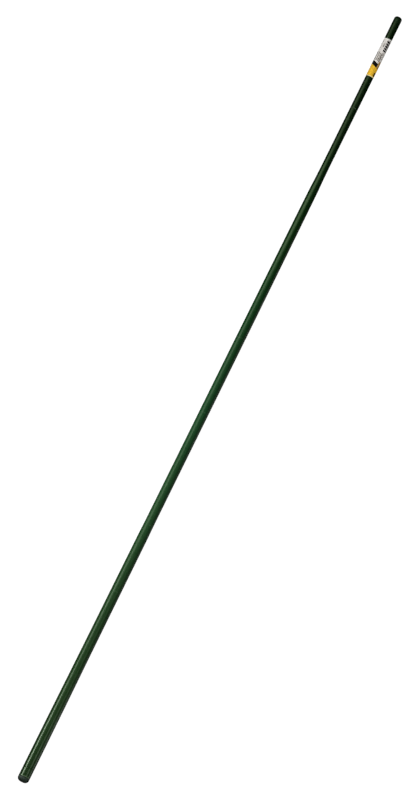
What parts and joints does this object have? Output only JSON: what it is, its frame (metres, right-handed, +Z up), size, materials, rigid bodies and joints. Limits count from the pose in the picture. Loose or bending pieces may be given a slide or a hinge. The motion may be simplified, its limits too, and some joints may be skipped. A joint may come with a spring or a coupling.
{
  "type": "roller extension pole",
  "caption": "Long one-piece tapered pole in a glossy green coating, with a push-in cap at the thick end and a rounded push-fit end for a roller handle.",
  "frame": {"origin": "on the plane the pole lies on, under the middle of its length and under its axis", "axes": "+X along the pole from the thick capped end to the thin push-fit end, +Z up, the pole's axis 13.95 mm above the plane"},
  "size_m": [2, 0.0278, 0.0279],
  "materials": {
    "tube_steel": "zinc-grey drawn steel, satin",
    "coating_green": "glossy smooth plastic coating",
    "cap_slate": "moulded, semi-matte slate grey-green",
    "plug_green": "moulded, satin dark green",
    "label_stock": "film-faced printed label, satin"
  },
  "bodies": {
    "pole": {"steel_tube": "tube_steel", "green_coating": "coating_green", "wrap_label": "label_stock"},
    "cap": {"butt_cap": "cap_slate"},
    "plug": {"nose_plug": "plug_green"}
  },
  "joints": [
    {"name": "cap_pull", "type": "slide", "parent": "pole", "child": "cap", "axis": [-1, 0, 0], "range_m": [0, 0.04]},
    {"name": "plug_pull", "type": "slide", "parent": "pole", "child": "plug", "axis": [1, 0, 0], "range_m": [0, 0.032]}
  ]
}
